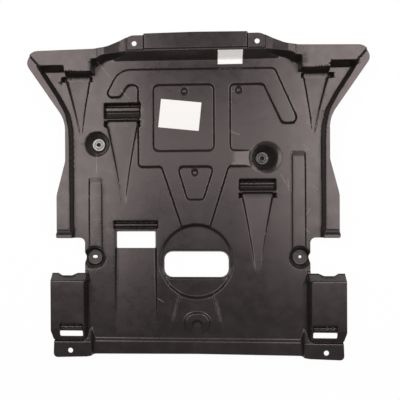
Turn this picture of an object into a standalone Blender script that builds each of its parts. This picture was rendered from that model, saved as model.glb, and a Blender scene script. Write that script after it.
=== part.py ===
"""Engine guard: a moulded plastic undertray with two metal inserts and two blank paper labels.

The tray is one sheet of even wall. Its face is described as forms raised from, or sunk into, a
flat plate. Each form is an outline, a level and the slope of its walls. The face and the underside
use the same forms, the underside one wall thickness behind. Sizes below are in millimetres.
X runs across the tray, Y along it and Z up, out of the photographed face.
"""
import math

import bmesh
import bpy
import numpy as np
from mathutils.geometry import delaunay_2d_cdt

MM = 0.001

# Sheet
WALL = 3.0
ARC_STEP = 8.0
ARC_TURN = 34.0
MERGE = 0.05
FLAT_ANGLE = 0.15
OVERRUN = 20.0
STEEP = 8.0
DRAFT = 5.0
RIB_DRAFT = 2.2
CUT_BACK = 6.0

# Levels of the face, from the plate
PLATE = 0.0
RIM_LEVEL = 30.0
WING_LEVEL = 38.0
STRIP_LEVEL = 26.0
SEGMENT_STEP = 3.0
TAB_STEP = 3.0
RIB_LEVEL = 7.0
LONG_RIB_LEVEL = 4.0
HEEL_LEVEL = 5.0
HEEL_TAB_LEVEL = 20.0
SHOE_LEVEL = 30.0
FOOT_DEPTH = 30.0

# Plan of the tray, right half
TOP_Y = 405.0
WING_TOP_Y = 365.0
WING_X = 415.5
WING_Y = 336.0
WING_TIP_R = 22.0
WAIST_X = 318.5
WAIST_Y = 196.0
HIP_X = 340.5
HIP_Y = 12.0
RIM_END_Y = -73.0
LIP_X = 346.0
NOTCH_X = 276.5
NOTCH_TOP_Y = -93.0
NOTCH_LOW_Y = -180.0
SHOE_X = 357.0
HEEL_X = 352.5
HEEL_Y = -386.0
HEEL_MID_Y = -378.0
EDGE_CROWN_R = 900.0
EDGE_CROWN = 1.5
TAB_EDGE = (156.0, 4.0, 30.0)
STRIP_EDGE_DROP = 18.5
SHOULDER_EDGE = (212.0, 30.0, 40.0)
WING_CORNER = (399.0, 1.0, 28.0)
WAIST_TOP_Y = 96.0
HEEL_CORNER_Y = -341.0
SHOE_CORNER_Y = -320.0
HEEL_RISE = 6.0
BITE_DEPTH = 5.0
BITE_X = (295.0, 307.0, 331.0, 343.0)
CORNER_R = 10.0
NOTCH_R = 13.0

# Side rim: X, Y and bend radius of the curve that its foot follows up into the wing
RIM_X = 307.5
RIM_CURVE = ((404.0, 357.0, 0.0), (367.5, 298.0, 60.0), (340.0, 256.0, 60.0), (317.0, 214.0, 70.0),
             (309.0, 176.0, 60.0))
RIM_STRAIGHT_Y = 140.0
RIM_LIP_LEVEL = 15.0
RIM_LIP_WIDTH = 10.0

# Top strip and wing plates
STRIP_Y = 362.0
STRIP_WALL_SLOPE = 1.35
STRIP_X = 186.0
SHOULDER_X = 243.0
SHOULDER_MID = (222.0, 354.0, 30.0)
SHOULDER_LOW_Y = 343.0
SHOULDER_FLAT = 6.0
SHOULDER_KNEE_LEVEL = 31.5
SHOULDER_SLOPE = 3.6
TAB_WALL_SLOPE = 3.0
SEGMENT_X = 124.5
SEGMENT_Y = 367.0
TAB_X = 168.0
WING_Y_LOW = 328.0
WING_SLOPE = 4.5
WING_EDGE = ((380.0, 328.0, 0.0), (410.0, 362.0, 0.0))
TONGUE_X0 = 251.5
TONGUE_X1 = 320.5
TONGUE_Y = 312.0
TONGUE_SLOPE = 25.0

# Fixing holes
TAB_HOLE_X = 148.5
TAB_HOLE_Y = 381.0
FIXING_R = 6.0
HEEL_HOLE_X = 310.0
HEEL_HOLE_Y = -368.5
CUP_HOLE_R = 3.5
CUP_SLOT_LENGTH = 12.0

# Screw wells and half cups: rim and floor circles
WELL_L = (-245.0, 139.5)
WELL_L_RIM_R = 31.0
WELL_R = (170.0, 103.0)
WELL_R_FLOOR = (163.5, 102.0)
WELL_R_RIM_R = 31.0
WELL_R_LIP_R = 40.0
WELL_R_LIP_FLOOR_R = 27.0
WELL_R_LIP_DEPTH = 4.0
WELL_FLOOR_R = 17.0
WELL_HOLE_R = 8.0
CUP_X = 251.5
CUP_Y = -142.5
CUP_RIM_R = 26.5
CUP_FLOOR_X = 256.0
CUP_FLOOR_R = 20.0

# Long ribs
LONG_RIB_X = 249.0
LONG_RIB_WIDTH = 31.0
LONG_RIB_LOW_Y = -130.0
LONG_RIB_L_Y = 58.0
LONG_RIB_R_Y = 119.0
RIB_RUNOUT = 15.0
LONG_RIB_SLOPE = 4.0

# Centre dish and its slot
DISH_Y = -152.0
DISH_R = 91.0
DISH_DEPTH = 7.0
DISH_SLOPE = 1.6
SLOT_SHIFT = -8.0
SLOT_WIDTH = 159.0
SLOT_HEIGHT = 63.0
SLOT_R = 20.0
COLLAR_WIDTH = 4.0
COLLAR_DEPTH = 9.0

# Air ducts
DUCT_DEPTH = 9.0
EAR_DEPTH = 20.0
EAR_DROP = 2.0
POCKET_DEPTH = 27.0
POCKET_FALL = 14.0
SLAT_DEPTH = 12.0
SLAT_SHARE = 0.28
SLAT_PLACE = 0.62
CREST_WIDTH = 5.0
DUCT_TAPER = 1.25
DUCT_POINTS = 7
EAR_SHORT = 3.0
POCKET_R = 1.5
LOUVRE_WIDTH = 89.0
LOUVRE_MOUTH_WIDTH = 75.0
LOUVRE_TAIL_WIDTH = 10.0
LOUVRE_L_LENGTH = 206.0
LOUVRE_L_TAIL_SHIFT = 3.0
LOUVRE_L_BAND = 15.0
LOUVRE_L = (-182.0, 203.0)
LOUVRE_L_POCKET = 37.0
LOUVRE_R = (150.0, 22.5)
LOUVRE_R_POCKET = 27.0
LOUVRE_R_TAIL_WIDTH = 14.0
LOUVRE_R_LENGTH = 192.5
LOUVRE_R_BAND = 10.0
LOUVRE_BAND_RISE = 0.5
WING_DUCT_X = 291.5
WING_DUCT_TUCK = 2.0
WING_DUCT_WIDTH = 76.0
WING_DUCT_EAR_SHIFT = 3.5
WING_DUCT_MOUTH_WIDTH = 60.0
WING_DUCT_TAIL_WIDTH = 6.0
WING_DUCT_LENGTH = 150.0
WING_DUCT_BAND = 11.7
WING_DUCT_BAND_RISE = 2.4
WING_DUCT_TAIL_SHIFT = -7.0
WINDOW_X = -149.5
WINDOW_WIDTH = 96.0
WINDOW_TOP_Y = -78.0
WINDOW_HEIGHT = 41.0
WINDOW_DUCT_END_Y = -332.0
WINDOW_POCKET_HEIGHT = 18.0
WINDOW_POCKET_WIDTH = 110.0
WINDOW_POCKET_DEPTH = 18.0
LOW_SLAT_SHARE = 0.4
LOW_SLAT_PLACE = 0.45
LOW_SLAT_DEPTH = 5.0
LOW_SLAT_FALL = 4.0
WINDOW_DUCT_DEPTH = 9.0
WINDOW_MARGIN = 3.0
WINDOW_R = 3.0

# Shoes, the raised boxes at the lower corners
SHOE_IN_X = 273.5
SHOE_TOP_Y = -196.0
SHOE_LOW_Y = -316.0
SHOE_SLOT_X = 306.0
SHOE_SLOT_WIDTH = 56.0
SHOE_SLOT_Y = -318.0
SHOE_SLOT_HEIGHT = 14.0
SHOE_SLOT_R = 2.5
SHOE_POCKET_HEIGHT = 13.0
SHOE_POCKET_DEPTH = 13.0
SHOE_HEEL_Y = -341.0
SHOE_HEEL_STEP = 2.0
SHOE_END_LEVEL = 3.0
SHOE_END_FLARE = 4.0
HEEL_TAB_X = 258.0
HEEL_FOLD_Y = -348.0
HEEL_SLOPE = 0.7
GUSSET_SLOPE = 2.0

# Ribbed cross with its hatches: X, Y and corner radius of each corner
CROSS_LEFT = ((-188.0, 320.0, 46.0), (-221.0, 255.5, 9.0), (-187.0, 255.5, 7.0), (-167.0, 285.5, 14.0),
              (-140.0, 285.5, 15.0), (-140.0, 83.0, 8.0), (-83.0, 83.0, 9.0))
CROSS_FOOT_X = (-29.0, 28.0)
CROSS_FOOT_REACH = 72.0
CROSS_RIGHT_TURN = (79.0, 83.5, 10.0)
CROSS_WELL_Y = (83.5, 118.5)
CROSS_RIGHT = ((82.5, 118.5, 12.0), (82.5, 283.0, 10.0), (165.5, 283.0, 12.0), (210.5, 187.0, 9.0),
               (248.5, 187.0, 12.0), (190.5, 318.0, 9.0))
HATCH_1 = (-105.5, 118.5, 46.0, 284.0)
HATCH_R = 14.0
HATCH_3 = ((-47.5, 83.0, 11.5), (-22.4, -1.0, 8.6), (19.1, -1.0, 9.0), (46.0, 83.0, 11.5))
DIMPLES = ((-28.0, 267.0), (105.0, 268.0), (-3.0, 67.0))
DIMPLE_R = 10.0
DIMPLE_FLOOR_R = 4.5
DIMPLE_DEPTH = 5.0

# Low ridges under the dish
WEDGE_RISE = 2.5
WEDGE_SLOPE = 1.2
WEDGE_TOP_X = 38.0
WEDGE_TOP_REACH = 80.0
WEDGE_LOW_X = 64.0
WEDGE_LOW_Y = -325.0
WEDGE_RUNOUT = 25.0
ARCH_RISE = 8.0
ARCH_SLOPE = 1.4
ARCH_R = 25.0
ARCH_HOLLOW_R = 13.0
ARCH_RUNOUT = 28.0
ARCH_X = 1.5
ARCH_WIDTH = 59.0
ARCH_TOP_Y = -279.0
ARCH_BAND = 15.0
ARCH_END_Y = -328.0

# Metal inserts
CLEAR = 0.3
FOOT_CLEAR = 0.5
INSERT_FLANGE_R = 15.5
INSERT_FLANGE = 2.0
INSERT_HEAD_R = 9.0
INSERT_HEAD = 1.5
INSERT_BORE_R = 5.0
INSERT_BORE_DEPTH = 5.0
ROUND_SIDES = 40

# Paper labels
PAPER = 0.3
BIG_LABEL = (100.0, 70.0)
BIG_LABEL_AT = (-39.0, 209.0)
BIG_LABEL_TURN = -6.0
SMALL_LABEL_WIDTH = 60.0
SMALL_LABEL_AT = (84.5, 331.5)
SMALL_LABEL_TOP_Y = 360.8


# Outlines

def rounded(corners):
    """A closed loop through (x, y, radius) corners, with each corner turned into an arc."""
    points = []
    count = len(corners)
    for i in range(count):
        corner = np.array(corners[i][:2], float)
        radius = corners[i][2]
        to_last = np.array(corners[i - 1][:2], float) - corner
        to_next = np.array(corners[(i + 1) % count][:2], float) - corner
        reach = min(np.linalg.norm(to_last), np.linalg.norm(to_next)) * 0.5
        to_last /= np.linalg.norm(to_last)
        to_next /= np.linalg.norm(to_next)
        opening = math.acos(max(-1.0, min(1.0, float(to_last @ to_next))))
        turn = math.pi - opening
        tangent = min(radius * math.tan(turn / 2), reach)
        if tangent < 0.2:
            points.append(tuple(corner))
            continue
        arc_radius = tangent / math.tan(turn / 2)
        bisector = (to_last + to_next) / np.linalg.norm(to_last + to_next)
        centre = corner + bisector * (arc_radius / math.sin(opening / 2))
        start = corner + to_last * tangent - centre
        end = corner + to_next * tangent - centre
        side = math.copysign(1.0, start[0] * end[1] - start[1] * end[0])
        steps = max(2, round(arc_radius * turn / ARC_STEP), math.ceil(turn / math.radians(ARC_TURN)))
        for k in range(steps + 1):
            angle = side * turn * k / steps
            c, s = math.cos(angle), math.sin(angle)
            points.append((centre[0] + c * start[0] - s * start[1],
                           centre[1] + s * start[0] + c * start[1]))
    return anticlockwise(points)


def anticlockwise(points):
    loop = np.array(points, float)
    x, y = loop[:, 0], loop[:, 1]
    area = np.sum(x * np.roll(y, -1) - np.roll(x, -1) * y)
    return loop if area > 0 else loop[::-1].copy()


def box(x0, y0, x1, y1, radius=0.0):
    return rounded([(x0, y0, radius), (x1, y0, radius), (x1, y1, radius), (x0, y1, radius)])


def circle(centre, radius):
    sides = max(12, 4 * round(2 * math.pi * radius / ARC_STEP / 4))
    turns = 2 * math.pi * np.arange(sides) / sides
    return np.stack([centre[0] + radius * np.cos(turns), centre[1] + radius * np.sin(turns)], 1)


def mirrored(loop):
    return anticlockwise(np.array(loop) * (-1.0, 1.0))


def offset(loop, reach):
    """Move each side of a loop outwards by reach, one number or one for each point."""
    ahead = np.roll(loop, -1, 0) - loop
    ahead /= np.linalg.norm(ahead, axis=1)[:, None]
    normal = np.stack([ahead[:, 1], -ahead[:, 0]], 1)
    before = np.roll(normal, 1, 0)
    mitre = before + normal
    mitre /= np.maximum(0.5, 1.0 + np.sum(before * normal, 1))[:, None]
    return loop + mitre * np.reshape(reach, (-1, 1))


def distance(points, loop):
    """Distance from each point to a loop, negative inside it."""
    start = loop[None]
    side = (np.roll(loop, -1, 0) - loop)[None]
    gap = points[:, None] - start
    along = np.clip(np.sum(gap * side, 2) / np.sum(side * side, 2), 0, 1)
    near = np.sqrt(np.min(np.sum((gap - along[..., None] * side) ** 2, 2), 1))
    y0, y1 = start[..., 1], start[..., 1] + side[..., 1]
    py = points[:, None, 1]
    crosses = (y0 > py) != (y1 > py)
    run = np.where(side[..., 1] == 0, 1.0, side[..., 1])
    at_x = start[..., 0] + (py - y0) / run * side[..., 0]
    inside = np.sum(crosses & (points[:, None, 0] < at_x), 1) % 2 == 1
    return np.where(inside, -near, near)


# Forms of the sheet

def as_level(level):
    return level if callable(level) else lambda points: np.full(len(points), float(level))


def fold_lines(loop, level):
    """Straight lines across a loop along which its level bends, from the level's (axis, place) pairs."""
    low, high = loop.min(0), loop.max(0)
    for axis, at in getattr(level, "folds", ()):
        if low[axis] + 0.3 < at < high[axis] - 0.3:
            line = np.array([low, high])
            line[:, axis] = at
            yield line


class Raised:
    """A plateau with walls that fall away outside its outline."""

    def __init__(self, loop, level, slope=STEEP, bases=(PLATE,)):
        self.loop, self.level, self.slope, self.bases = loop, as_level(level), slope, bases

    def back_shift(self):
        return WALL * (math.sqrt(1 + self.slope ** 2) - 1) / self.slope

    def shape(self, points, height, wall):
        gap = distance(points, self.loop)
        if wall:
            gap = gap + self.back_shift()
        level = self.level(points) - wall
        return np.maximum(height, np.minimum(level, level - gap * self.slope))

    def edges(self):
        yield from fold_lines(self.loop, self.level)
        for shift in (0.0, -self.back_shift()):
            yield offset(self.loop, shift)
            for base in self.bases:
                reach = np.maximum(self.level(self.loop) - base, 0) / self.slope
                if reach.max() > 0.3:
                    yield offset(self.loop, reach + shift)


class Sunk:
    """A pocket with walls that fall away inside its outline, which lies at the level top."""

    def __init__(self, loop, level, slope=STEEP, top=PLATE):
        self.loop, self.level, self.slope, self.top = loop, as_level(level), slope, top

    def back_shift(self):
        return WALL * (math.sqrt(1 + self.slope ** 2) - 1) / self.slope

    def shape(self, points, height, wall):
        gap = distance(points, self.loop)
        if wall:
            gap = gap - self.back_shift()
        wall_height = self.top - wall + np.where(gap > 0, gap * CUT_BACK, gap) * self.slope
        return np.minimum(height, np.maximum(self.level(points) - wall, wall_height))

    def edges(self):
        yield from fold_lines(self.loop, self.level)
        reach = np.minimum(self.level(self.loop) - self.top, 0) / self.slope
        for shift in (0.0, self.back_shift()):
            yield offset(self.loop, shift)
            yield offset(self.loop, reach + shift)


class Cone:
    """A round pocket from a rim circle down to a floor circle that may lie off its centre."""

    def __init__(self, rim, rim_r, floor, floor_r, depth, top=PLATE):
        self.rim, self.floor = np.array(rim, float), np.array(floor, float)
        self.rim_r, self.floor_r, self.depth, self.top = rim_r, floor_r, depth, top
        slope = depth / (rim_r - floor_r)
        self.shift = WALL * (math.sqrt(1 + slope ** 2) - 1) / slope

    def shape(self, points, height, wall):
        grow = self.shift if wall else 0.0
        move = self.floor - self.rim
        shrink = self.floor_r - self.rim_r
        gap = points - self.rim
        start = self.rim_r + grow
        a = move @ move - shrink ** 2
        b = gap @ move + start * shrink
        c = np.sum(gap * gap, 1) - start ** 2
        share = (b + np.sqrt(np.maximum(b * b - a * c, 0))) / a
        share = np.where(share < 0, share * CUT_BACK, np.minimum(share, 1.0))
        cone = self.top - wall - share * self.depth
        return np.minimum(height, cone)

    def edges(self):
        for grow in (0.0, self.shift):
            yield circle(self.rim, self.rim_r + grow)
            yield circle(self.floor, self.floor_r + grow)


def ramp(y_low, z_low, y_high, z_high):
    """A level that runs straight from one height to another along Y and stays there beyond."""
    def level(points):
        share = np.clip((points[:, 1] - y_low) / (y_high - y_low), 0, 1)
        return z_low + (z_high - z_low) * share
    level.folds = ((1, y_low), (1, y_high))
    return level


def duct(mouth_x, crest_y, pocket_height, width, mouth_width, tail_width, length, band, band_rise,
         tail_shift=0.0, ear_shift=0.0):
    """A flush air duct: a tapering ramp, a band under a crest, and a slatted pocket behind it."""
    band_y = crest_y - CREST_WIDTH
    floor_y = band_y - band
    left, right = [], []
    for i in range(DUCT_POINTS):
        share = i / (DUCT_POINTS - 1)
        half = (tail_width + (mouth_width - tail_width) * (1 - share) ** DUCT_TAPER) / 2
        x = mouth_x + tail_shift * share
        y = floor_y - (length - band) * share
        left.append((x - half, y))
        right.append((x + half, y))
    loop = [(mouth_x - mouth_width / 2, band_y)] + left
    loop += right[::-1] + [(mouth_x + mouth_width / 2, band_y)]
    end_y = floor_y - (length - band)
    fall = ramp(end_y, PLATE, floor_y, -DUCT_DEPTH)
    rise = ramp(floor_y, -DUCT_DEPTH, band_y, band_rise - DUCT_DEPTH)

    def level(points):
        return np.where(points[:, 1] < floor_y, fall(points), rise(points))

    level.folds = ((1, floor_y),)
    forms = [Sunk(anticlockwise(loop), level, DRAFT)]
    for side in (-1, 1):
        ends = sorted((mouth_x + side * (mouth_width / 2 - 1.0), mouth_x + ear_shift + side * width / 2))
        forms.append(Sunk(box(ends[0], floor_y - EAR_DROP, ends[1], band_y - EAR_SHORT), -EAR_DEPTH))
    if pocket_height:
        forms += pocket(mouth_x, crest_y, width, pocket_height, PLATE, POCKET_DEPTH, POCKET_FALL,
                        SLAT_PLACE, SLAT_SHARE, SLAT_DEPTH)
    return forms


def pocket(mid_x, low_y, width, height, top, depth, fall, slat_place, slat_share, slat_depth):
    """A rectangular pocket with a falling floor and one flat slat across it."""
    x0, x1 = mid_x - width / 2, mid_x + width / 2
    slat_y = low_y + height * slat_place
    half = height * slat_share / 2
    floor = ramp(low_y, top - depth + fall, low_y + height, top - depth)
    slat_foot = top - depth + fall * (1 - slat_place)
    return [Sunk(box(x0, low_y, x1, low_y + height, POCKET_R), floor, top=top),
            Raised(box(x0 - 1.0, slat_y - half, x1 + 1.0, slat_y + half), top - slat_depth,
                   bases=(slat_foot,))]


def both(loop):
    """A loop of the right half and its mirror image."""
    return loop, mirrored(loop)


def rim_forms():
    """The side rims, each with a lower step at its end."""
    out_x = LIP_X + OVERRUN
    wing_out_x = WING_X + OVERRUN
    rim = rounded([*RIM_CURVE, (RIM_X, RIM_STRAIGHT_Y, 0), (RIM_X, RIM_END_Y, 0), (out_x, RIM_END_Y, 0),
                   (out_x, HIP_Y, 0), (wing_out_x, WAIST_Y, 0), (wing_out_x, RIM_CURVE[0][1], 0)])
    lip = box(RIM_X - 2.0, NOTCH_TOP_Y - 10.0, out_x, RIM_END_Y + 2.0)
    lip_fall = ramp(RIM_END_Y - RIM_LIP_WIDTH, RIM_LIP_LEVEL, RIM_END_Y, RIM_LEVEL)
    forms = [Raised(loop, lip_fall) for loop in both(lip)]
    return forms + [Raised(loop, RIM_LEVEL, bases=(PLATE, RIM_LIP_LEVEL)) for loop in both(rim)]


def wing_forms():
    """The wing plates with their tongues, and the shoulders that lead down to the top strip."""
    inner_x = SHOULDER_X - 6.0
    top = TOP_Y + OVERRUN
    wing = rounded([(inner_x, SHOULDER_LOW_Y + 0.5, 0), (TONGUE_X0, SHOULDER_LOW_Y - 1.0, 0),
                    (TONGUE_X1, WING_Y_LOW, 0), *WING_EDGE, (WING_EDGE[-1][0], top, 0), (inner_x, top, 0)])
    tongue = box(TONGUE_X0, TONGUE_Y, TONGUE_X1, WING_TOP_Y, 0.5)
    start_x = STRIP_X - 12.0
    shoulder = rounded([(start_x, STRIP_Y - 1.0, 0), SHOULDER_MID, (SHOULDER_X, SHOULDER_LOW_Y, 0),
                        (SHOULDER_X, top, 0), (start_x, top, 0)])

    def climb(points):
        return np.interp(np.abs(points[:, 0]), (STRIP_X, SHOULDER_MID[0], SHOULDER_X - SHOULDER_FLAT),
                         (STRIP_LEVEL, SHOULDER_KNEE_LEVEL, WING_LEVEL))

    climb.folds = ((0, SHOULDER_MID[0]), (0, -SHOULDER_MID[0]))
    forms = [Raised(loop, WING_LEVEL, WING_SLOPE, bases=(PLATE, RIM_LEVEL)) for loop in both(wing)]
    forms += [Raised(loop, WING_LEVEL, TONGUE_SLOPE) for loop in both(tongue)]
    return forms + [Raised(loop, climb, SHOULDER_SLOPE) for loop in both(shoulder)]


def strip_forms():
    """The top strip, with a raised middle segment and a lower tab at each end of it."""
    top = TOP_Y + OVERRUN
    strip = box(-STRIP_X, STRIP_Y, STRIP_X, top)
    tab = box(SEGMENT_X - 5.0, SEGMENT_Y - 3.0, TAB_X, top)
    segment = box(-SEGMENT_X, SEGMENT_Y, SEGMENT_X, top)
    tab_level = STRIP_LEVEL - TAB_STEP
    forms = [Raised(strip, STRIP_LEVEL, STRIP_WALL_SLOPE)]
    forms += [Sunk(loop, tab_level, TAB_WALL_SLOPE, top=STRIP_LEVEL) for loop in both(tab)]
    forms.append(Raised(segment, STRIP_LEVEL + SEGMENT_STEP, TAB_WALL_SLOPE, bases=(STRIP_LEVEL, tab_level)))
    return forms


def heel_forms():
    """The heel strip, the shoes above its ends, their gussets and the heel tabs."""
    out_x = SHOE_X + OVERRUN
    low = HEEL_Y - OVERRUN
    heel = box(-HEEL_TAB_X - 30.0, low, HEEL_TAB_X + 30.0, HEEL_FOLD_Y)
    shoe = box(SHOE_IN_X, SHOE_HEEL_Y, out_x, SHOE_TOP_Y)
    shoe_level = ramp(SHOE_HEEL_Y, HEEL_TAB_LEVEL + SHOE_HEEL_STEP, SHOE_LOW_Y, SHOE_LEVEL)
    end = box(SHOE_IN_X - SHOE_END_FLARE, SHOE_TOP_Y - 1.0, out_x, NOTCH_LOW_Y + 5.0)
    end_fall = ramp(SHOE_TOP_Y, SHOE_LEVEL, NOTCH_LOW_Y - 1.0, SHOE_END_LEVEL)
    tab = box(HEEL_TAB_X, low, out_x, HEEL_FOLD_Y + 2.0)
    in_x, far_x = HEEL_TAB_X + 2.0, SHOE_IN_X + 4.0
    gusset = rounded([(in_x, HEEL_FOLD_Y - 1.0, 0), (far_x, HEEL_FOLD_Y - 1.0, 0), (far_x, SHOE_LOW_Y, 0),
                      (in_x, SHOE_LOW_Y, 0), (in_x, HEEL_FOLD_Y, 0)])
    gusset_level = ramp(HEEL_FOLD_Y, HEEL_TAB_LEVEL, SHOE_LOW_Y, PLATE)
    forms = [Raised(heel, HEEL_LEVEL, HEEL_SLOPE)]
    forms += [Raised(loop, end_fall, DRAFT) for loop in both(end)]
    forms += [Raised(loop, shoe_level, DRAFT) for loop in both(shoe)]
    forms += [Raised(loop, gusset_level, GUSSET_SLOPE) for loop in both(gusset)]
    return forms + [Raised(loop, HEEL_TAB_LEVEL, DRAFT, bases=(PLATE, HEEL_LEVEL)) for loop in both(tab)]


def cross_forms():
    """The ribbed cross from its left hook round to its right finger, with two closed hatches."""
    foot_y = DISH_Y + CROSS_FOOT_REACH
    well_x = WELL_R[0]
    outline = rounded([*CROSS_LEFT, (CROSS_FOOT_X[0], foot_y, 0), (CROSS_FOOT_X[1], foot_y, 0),
                       CROSS_RIGHT_TURN, (well_x, CROSS_WELL_Y[0], 0), (well_x, CROSS_WELL_Y[1], 0),
                       *CROSS_RIGHT])
    return [Raised(outline, RIB_LEVEL, RIB_DRAFT),
            Sunk(box(*HATCH_1, HATCH_R), PLATE, RIB_DRAFT, top=RIB_LEVEL),
            Sunk(rounded(HATCH_3), PLATE, RIB_DRAFT, top=RIB_LEVEL)]


def long_rib_forms():
    forms = []
    for side, top_y in ((-1, LONG_RIB_L_Y), (1, LONG_RIB_R_Y)):
        x = side * LONG_RIB_X
        rib = box(x - LONG_RIB_WIDTH / 2, LONG_RIB_LOW_Y, x + LONG_RIB_WIDTH / 2, top_y)
        runout = ramp(top_y - RIB_RUNOUT, LONG_RIB_LEVEL, top_y, PLATE)
        forms.append(Raised(rib, runout, LONG_RIB_SLOPE))
    return forms


def dish_forms():
    """The centre dish with the collar of its slot, and the low wedge and arch under it."""
    wedge_y = DISH_Y - WEDGE_TOP_REACH
    wedge = rounded([(-WEDGE_TOP_X, wedge_y, 0), (-WEDGE_LOW_X, WEDGE_LOW_Y, 0),
                     (WEDGE_LOW_X, WEDGE_LOW_Y, 0), (WEDGE_TOP_X, wedge_y, 0)])
    wedge_level = ramp(WEDGE_LOW_Y, PLATE, WEDGE_LOW_Y + WEDGE_RUNOUT, WEDGE_RISE)
    x0, x1 = ARCH_X - ARCH_WIDTH / 2, ARCH_X + ARCH_WIDTH / 2
    arch = box(x0, ARCH_END_Y, x1, ARCH_TOP_Y, ARCH_R)
    arch_level = ramp(ARCH_END_Y, PLATE, ARCH_END_Y + ARCH_RUNOUT, ARCH_RISE)
    hollow = box(x0 + ARCH_BAND, ARCH_END_Y - OVERRUN, x1 - ARCH_BAND, ARCH_TOP_Y - ARCH_BAND, ARCH_HOLLOW_R)
    return [Raised(wedge, wedge_level, WEDGE_SLOPE),
            Raised(arch, arch_level, ARCH_SLOPE),
            Sunk(hollow, PLATE, ARCH_SLOPE, top=ARCH_RISE),
            Sunk(circle((0, DISH_Y), DISH_R), -DISH_DEPTH, DISH_SLOPE),
            Sunk(slot_outline(COLLAR_WIDTH), -DISH_DEPTH - COLLAR_DEPTH, COLLAR_DEPTH / COLLAR_WIDTH,
                 top=-DISH_DEPTH)]


def duct_forms():
    """The two louvres, the ducts under the wing tongues, and the window with its wide duct."""
    forms = duct(*LOUVRE_L, LOUVRE_L_POCKET, LOUVRE_WIDTH, LOUVRE_MOUTH_WIDTH, LOUVRE_TAIL_WIDTH,
                 LOUVRE_L_LENGTH, LOUVRE_L_BAND, LOUVRE_BAND_RISE, LOUVRE_L_TAIL_SHIFT)
    forms += duct(*LOUVRE_R, LOUVRE_R_POCKET, LOUVRE_WIDTH, LOUVRE_MOUTH_WIDTH, LOUVRE_R_TAIL_WIDTH,
                  LOUVRE_R_LENGTH, LOUVRE_R_BAND, LOUVRE_BAND_RISE)
    for side in (-1, 1):
        forms += duct(side * WING_DUCT_X, TONGUE_Y + WING_DUCT_TUCK, 0, WING_DUCT_WIDTH,
                      WING_DUCT_MOUTH_WIDTH, WING_DUCT_TAIL_WIDTH, WING_DUCT_LENGTH, WING_DUCT_BAND,
                      WING_DUCT_BAND_RISE, side * WING_DUCT_TAIL_SHIFT, side * WING_DUCT_EAR_SHIFT)
    reach = WINDOW_WIDTH / 2 + WINDOW_MARGIN
    gully = box(WINDOW_X - reach, WINDOW_DUCT_END_Y, WINDOW_X + reach, WINDOW_TOP_Y + WINDOW_MARGIN)
    fall = ramp(WINDOW_DUCT_END_Y, PLATE, WINDOW_TOP_Y - WINDOW_HEIGHT, -WINDOW_DUCT_DEPTH)
    forms.append(Sunk(gully, fall, DRAFT))
    low_slat = (LOW_SLAT_FALL, LOW_SLAT_PLACE, LOW_SLAT_SHARE, LOW_SLAT_DEPTH)
    forms += pocket(WINDOW_X, WINDOW_TOP_Y + WINDOW_MARGIN + CREST_WIDTH, WINDOW_POCKET_WIDTH,
                    WINDOW_POCKET_HEIGHT, PLATE, WINDOW_POCKET_DEPTH, *low_slat)
    for side in (-1, 1):
        forms += pocket(side * SHOE_SLOT_X, SHOE_SLOT_Y + SHOE_SLOT_R, SHOE_SLOT_WIDTH,
                        SHOE_POCKET_HEIGHT, SHOE_LEVEL, SHOE_POCKET_DEPTH, *low_slat)
    return forms


def well_forms():
    """The dimples, the two screw wells and the two half cups."""
    forms = [Cone(at, DIMPLE_R, at, DIMPLE_FLOOR_R, DIMPLE_DEPTH) for at in DIMPLES]
    forms.append(Cone(WELL_L, WELL_L_RIM_R, WELL_L, WELL_FLOOR_R, FOOT_DEPTH))
    forms.append(Cone(WELL_R, WELL_R_LIP_R, WELL_R, WELL_R_LIP_FLOOR_R, WELL_R_LIP_DEPTH))
    forms.append(Cone(WELL_R, WELL_R_RIM_R, WELL_R_FLOOR, WELL_FLOOR_R, FOOT_DEPTH))
    for side in (-1, 1):
        forms.append(Cone((side * CUP_X, CUP_Y), CUP_RIM_R, (side * CUP_FLOOR_X, CUP_Y),
                          CUP_FLOOR_R, FOOT_DEPTH))
    return forms


def sheet_forms():
    """All forms of the sheet, in the order in which they are laid over the plate."""
    return (rim_forms() + wing_forms() + strip_forms() + heel_forms() + cross_forms()
            + long_rib_forms() + dish_forms() + duct_forms() + well_forms())


def slot_outline(grow=0.0):
    half_w, half_h = SLOT_WIDTH / 2 + grow, SLOT_HEIGHT / 2 + grow
    y = DISH_Y + SLOT_SHIFT
    return box(-half_w, y - half_h, half_w, y + half_h, SLOT_R + grow)


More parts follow.
